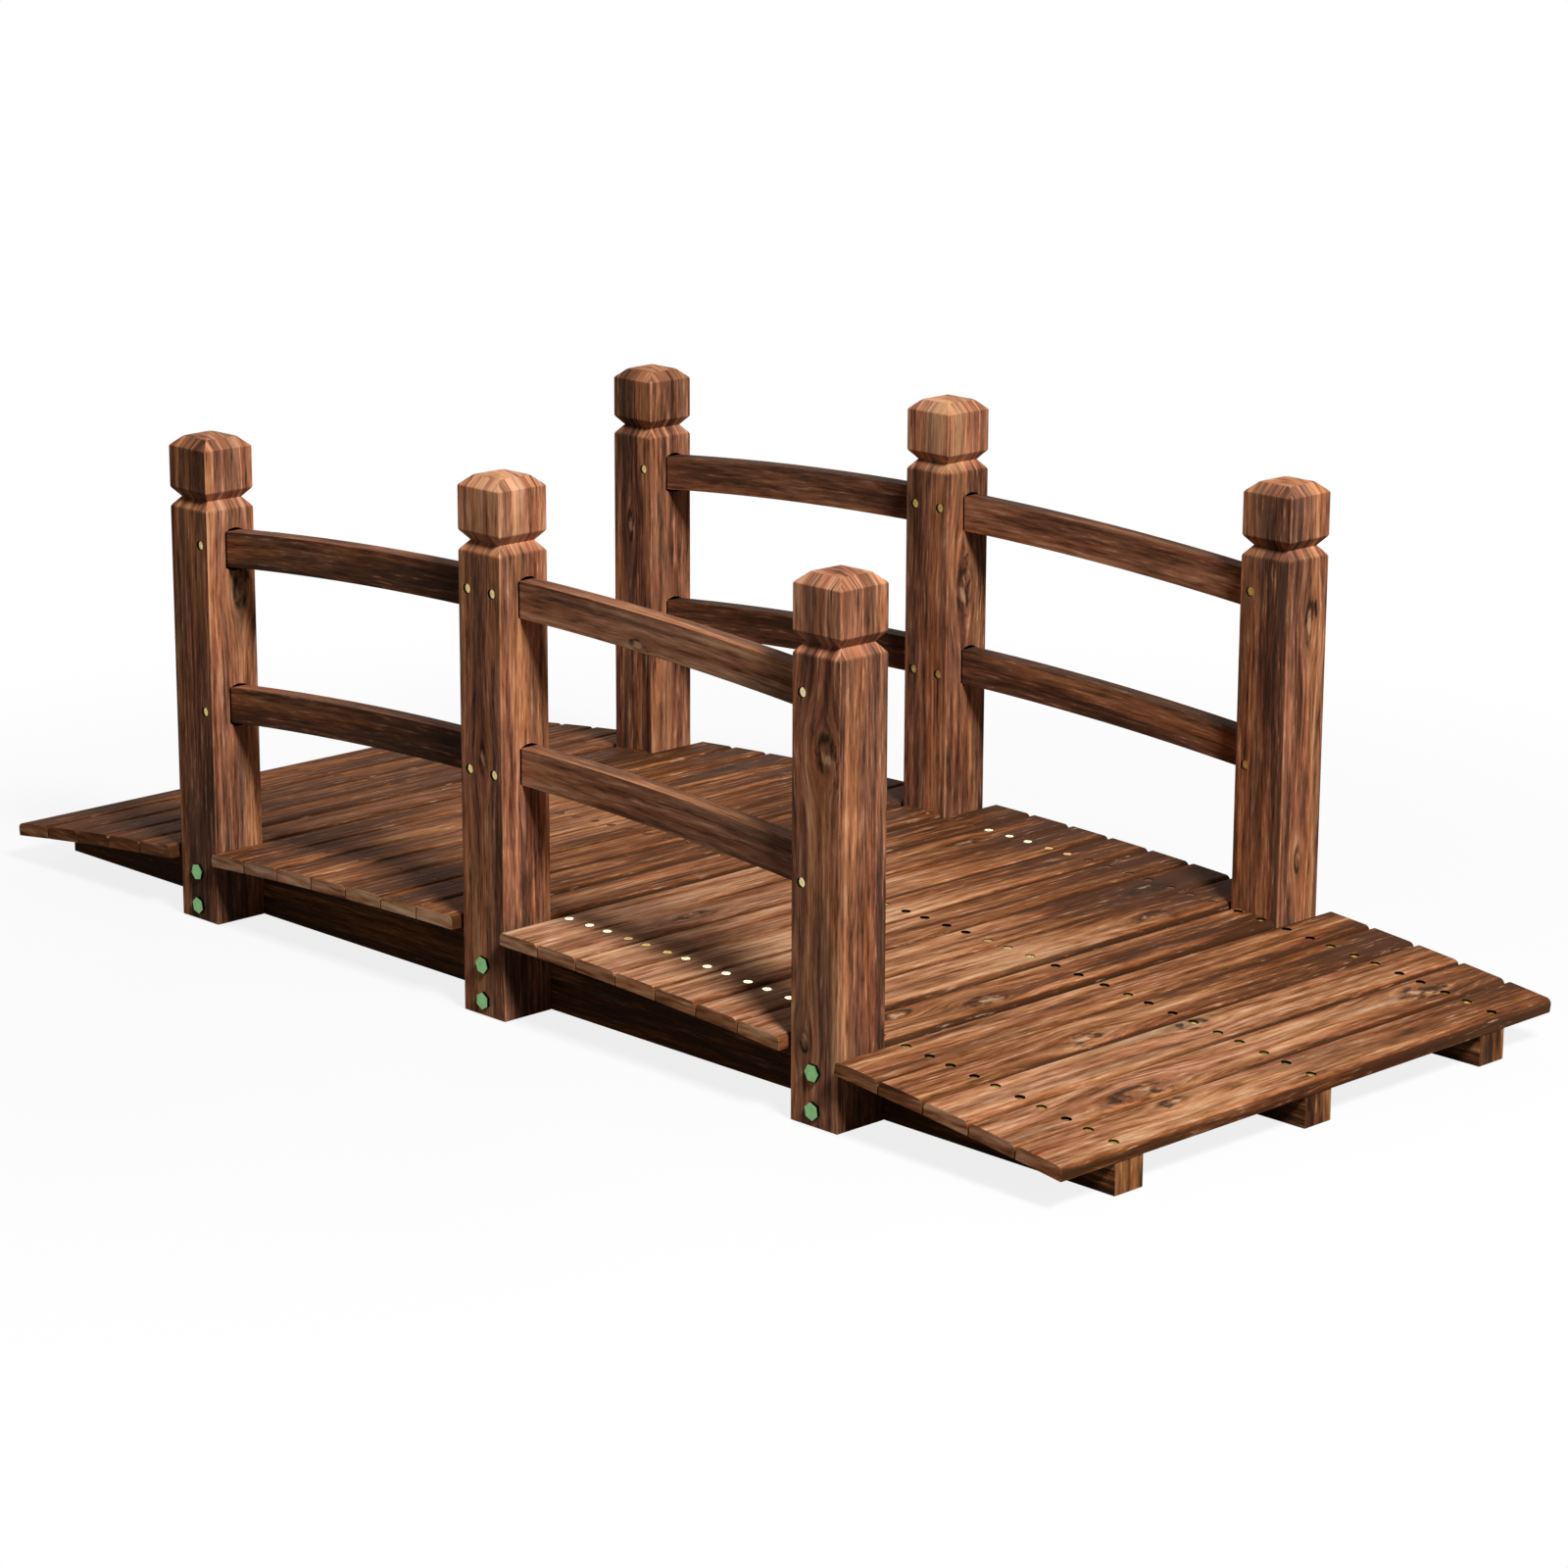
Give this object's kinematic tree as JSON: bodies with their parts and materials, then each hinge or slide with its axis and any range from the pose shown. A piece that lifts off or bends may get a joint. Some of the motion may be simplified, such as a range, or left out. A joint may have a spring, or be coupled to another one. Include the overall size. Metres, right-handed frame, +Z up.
{
  "type": "garden bridge",
  "caption": "Small arched wooden garden footbridge: plank deck on bowed stringers, capped square posts and arched rails on both sides.",
  "frame": {"origin": "centre of the footprint, on the ground", "axes": "+X along the bridge, +Y across it, +Z up"},
  "size_m": [1.5006, 0.677, 0.5245],
  "materials": {
    "stringer_wood": "dark stained softwood, satin",
    "post_wood": "red-brown stained softwood with open grain and knots",
    "rail_wood": "brown stained softwood with open grain",
    "deck_wood": "brown stained softwood boards, varied from board to board",
    "bolt_zinc": "pale green passivated hexagon heads",
    "screw_brass": "yellow passivated countersunk screws"
  },
  "bodies": {
    "root": {"front_stringer": "stringer_wood", "middle_stringer": "stringer_wood", "back_stringer": "stringer_wood", "front_left_post": "post_wood", "front_middle_post": "post_wood", "front_right_post": "post_wood", "back_left_post": "post_wood", "back_middle_post": "post_wood", "back_right_post": "post_wood", "front_left_lower_rail": "rail_wood", "front_left_upper_rail": "rail_wood", "front_right_lower_rail": "rail_wood", "front_right_upper_rail": "rail_wood", "back_left_lower_rail": "rail_wood", "back_left_upper_rail": "rail_wood", "back_right_lower_rail": "rail_wood", "back_right_upper_rail": "rail_wood", "left_post_row_board": "deck_wood", "middle_post_row_board": "deck_wood", "right_post_row_board": "deck_wood", "left_bay_board_1": "deck_wood", "left_bay_board_2": "deck_wood", "left_bay_board_3": "deck_wood", "left_bay_board_4": "deck_wood", "left_bay_board_5": "deck_wood", "left_bay_board_6": "deck_wood", "left_bay_board_7": "deck_wood", "right_bay_board_1": "deck_wood", "right_bay_board_2": "deck_wood", "right_bay_board_3": "deck_wood", "right_bay_board_4": "deck_wood", "right_bay_board_5": "deck_wood", "right_bay_board_6": "deck_wood", "right_bay_board_7": "deck_wood", "left_ramp_board_1": "deck_wood", "left_ramp_board_2": "deck_wood", "left_ramp_board_3": "deck_wood", "left_ramp_board_4": "deck_wood", "left_ramp_board_5": "deck_wood", "right_ramp_board_1": "deck_wood", "right_ramp_board_2": "deck_wood", "right_ramp_board_3": "deck_wood", "right_ramp_board_4": "deck_wood", "right_ramp_board_5": "deck_wood"}
  },
  "joints": []
}
